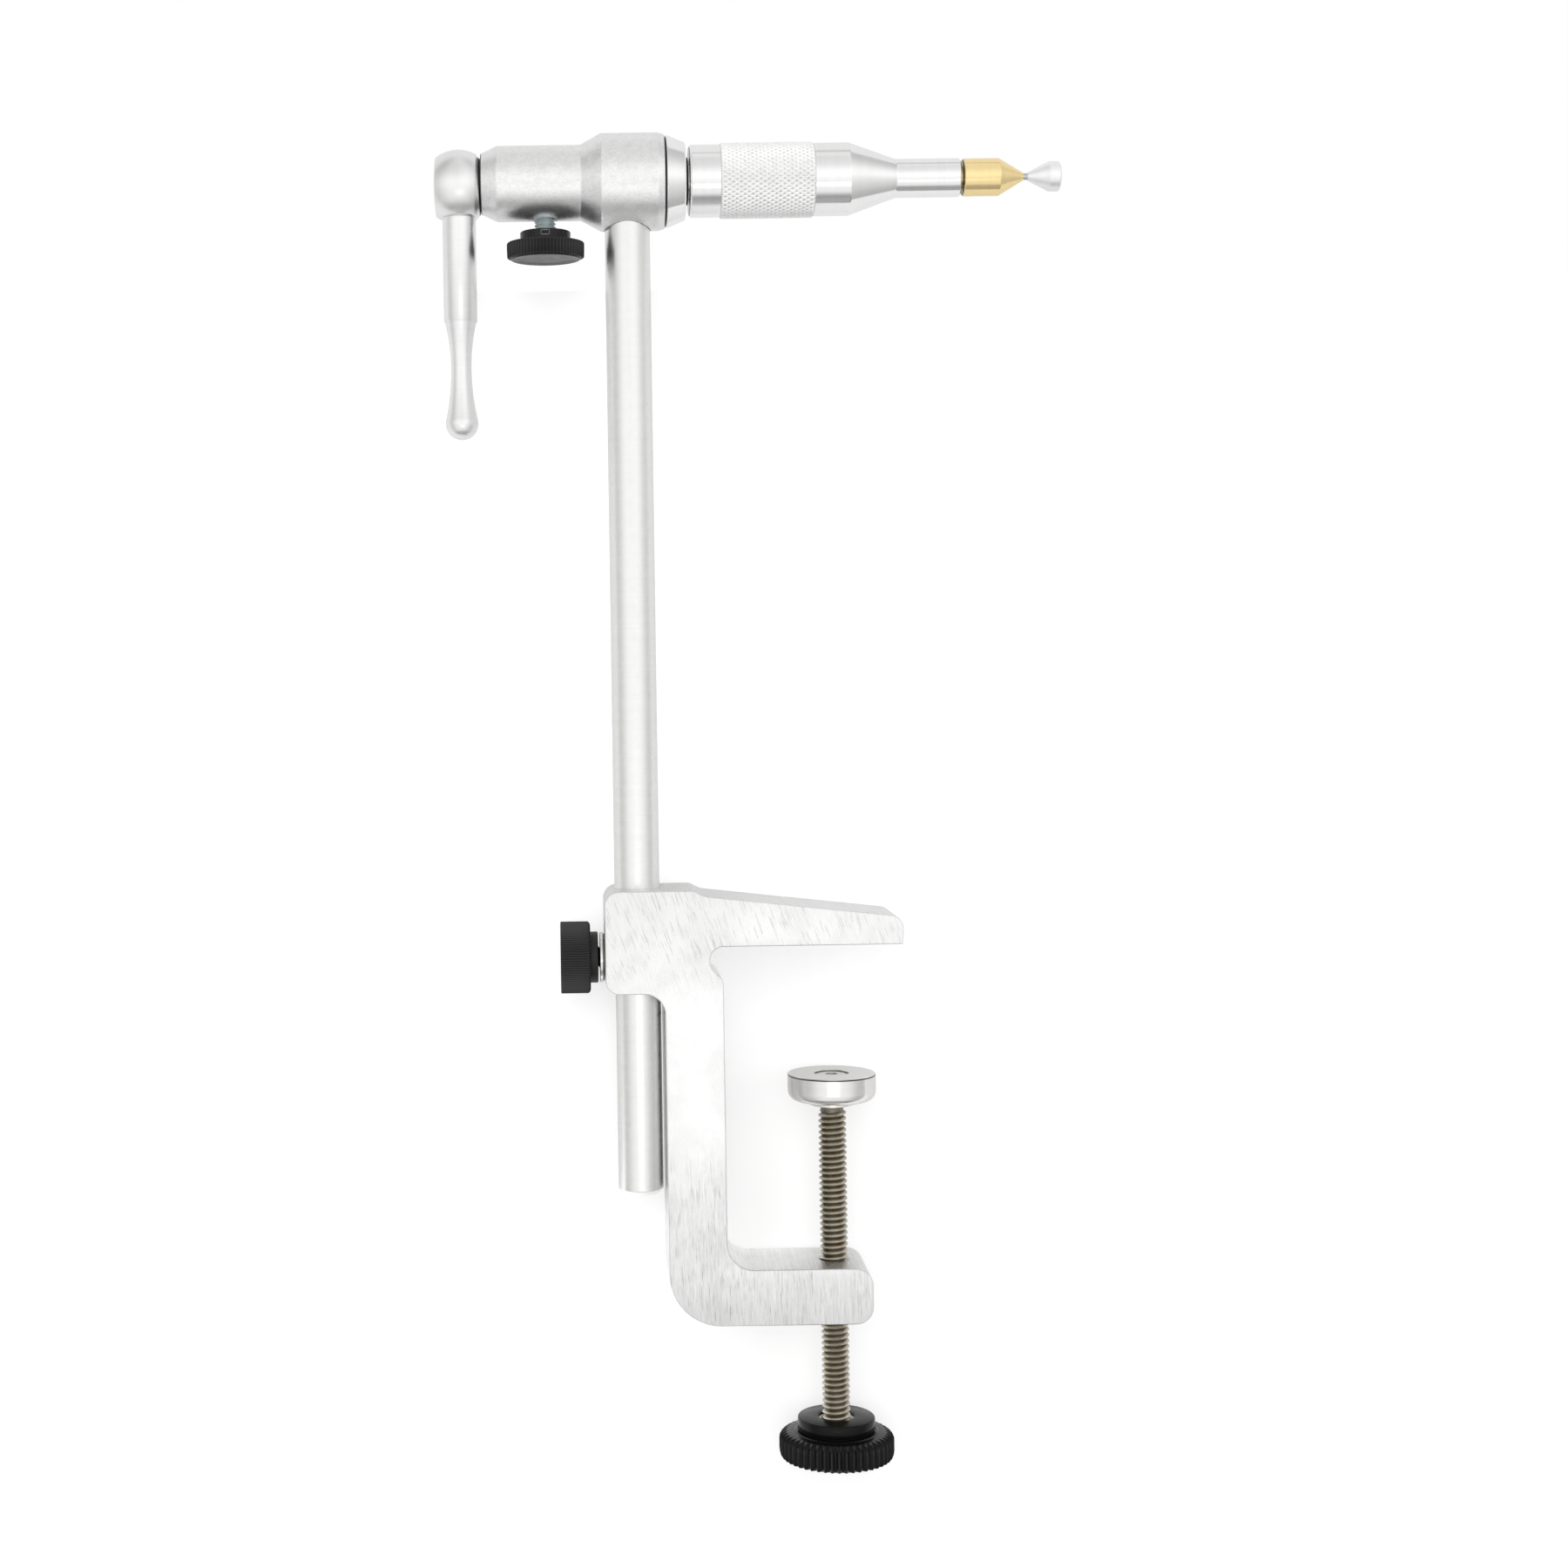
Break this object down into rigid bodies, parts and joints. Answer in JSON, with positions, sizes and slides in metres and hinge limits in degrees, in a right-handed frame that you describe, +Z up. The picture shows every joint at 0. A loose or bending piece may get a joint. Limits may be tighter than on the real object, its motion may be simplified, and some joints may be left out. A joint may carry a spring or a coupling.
{
  "type": "fly tying vise",
  "caption": "Rotary fly tying vise for tube flies: a turning head with crank, knurled mandrel holder and brass nose, on a stem held in a C-clamp for a table edge.",
  "frame": {"origin": "on the axis of the clamp screw, on the face of the upper jaw that lies on the tabletop", "axes": "+X along the head from the crank to the nose, +Z up along the stem, -Y towards the person tying"},
  "size_m": [0.1391, 0.0254, 0.2949],
  "materials": {
    "sawn_aluminium": "saw-cut faces with fine diagonal lines",
    "tumbled_aluminium": "tumbled, matte and faintly mottled",
    "turned_aluminium": "turned, satin",
    "ground_steel": "ground, with a fine grain along its length",
    "polished_steel": "polished",
    "bright_steel": "plated, bright",
    "dark_steel": "oiled screw thread with a bronze tint",
    "brass": "turned, bright",
    "bronze": "sintered bronze",
    "black_plastic": "moulded, semi-matte",
    "rubber": "matte",
    "nylon": "natural white"
  },
  "bodies": {
    "clamp": {"clamp_frame": "sawn_aluminium"},
    "stem": {"stem": "ground_steel"},
    "head": {"head_housing": "tumbled_aluminium", "rear_bushing": "bronze", "front_bushing": "bronze", "bearing_set_screw": "bright_steel"},
    "rotor": {"rotor_shaft": "ground_steel", "thrust_washers": "black_plastic", "crank_hub": "turned_aluminium", "crank_handle": "turned_aluminium", "front_collar": "polished_steel", "rubber_ring": "rubber", "mandrel_holder": "turned_aluminium"},
    "collet": {"collet": "brass"},
    "nose": {"nose_cap": "brass"},
    "mandrel": {"mandrel_pin": "bright_steel", "mandrel_stop": "turned_aluminium"},
    "drag_pad": {"drag_pad": "nylon"},
    "drag_screw": {"drag_stud": "bright_steel", "drag_knob": "black_plastic"},
    "lock_washer": {"lock_washer": "bright_steel"},
    "lock_screw": {"lock_stud": "bright_steel", "lock_knob": "black_plastic"},
    "pad": {"pressure_pad": "polished_steel"},
    "clamp_screw": {"pad_screw": "bright_steel", "clamp_screw": "dark_steel", "clamp_knob": "black_plastic", "knob_insert": "bright_steel"}
  },
  "joints": [
    {"name": "stem_height", "type": "slide", "parent": "clamp", "child": "stem", "axis": [0, 0, 1], "range_m": [-0.08, 0.035]},
    {"name": "head_swivel", "type": "hinge", "parent": "stem", "child": "head", "pos_m": [-0.0427, 0, 0.169], "axis": [0, 0, 1], "continuous": true},
    {"name": "crank_turn", "type": "hinge", "parent": "head", "child": "rotor", "pos_m": [-0.0427, 0, 0.169], "axis": [1, 0, 0], "continuous": true},
    {"name": "collet_release", "type": "slide", "parent": "rotor", "child": "collet", "axis": [1, 0, 0], "range_m": [0, 0.003]},
    {"name": "nose_turn", "type": "hinge", "parent": "collet", "child": "nose", "pos_m": [0.036, 0, 0.169], "axis": [1, 0, 0], "range_deg": [0, 1080]},
    {"name": "mandrel_slide", "type": "slide", "parent": "collet", "child": "mandrel", "axis": [1, 0, 0], "range_m": [0, 0.05]},
    {"name": "drag_travel", "type": "slide", "parent": "head", "child": "drag_pad", "axis": [0, 0, -1], "range_m": [0, 0.00159]},
    {"name": "drag_turn", "type": "hinge", "parent": "drag_pad", "child": "drag_screw", "pos_m": [-0.0609, 0, 0.155], "axis": [0, 0, -1], "range_deg": [0, 720]},
    {"name": "lock_travel", "type": "slide", "parent": "clamp", "child": "lock_washer", "axis": [-1, 0, 0], "range_m": [0, 0.00079375]},
    {"name": "lock_turn", "type": "hinge", "parent": "lock_washer", "child": "lock_screw", "pos_m": [-0.055, 0, -0.003], "axis": [-1, 0, 0], "range_deg": [0, 360]},
    {"name": "pad_travel", "type": "slide", "parent": "clamp", "child": "pad", "axis": [0, 0, 1], "range_m": [-0.03302, 0.02254]},
    {"name": "clamp_turn", "type": "hinge", "parent": "pad", "child": "clamp_screw", "pos_m": [0, 0, -0.07], "axis": [0, 0, 1], "range_deg": [-9360, 6390]}
  ],
  "couplings": [
    {"joint": "nose_turn", "follows": "collet_release", "rad_per_m": 6283.2},
    {"joint": "drag_turn", "follows": "drag_travel", "rad_per_m": 7915.8},
    {"joint": "lock_turn", "follows": "lock_travel", "rad_per_m": 7915.8},
    {"joint": "clamp_turn", "follows": "pad_travel", "rad_per_m": 4947.4}
  ]
}
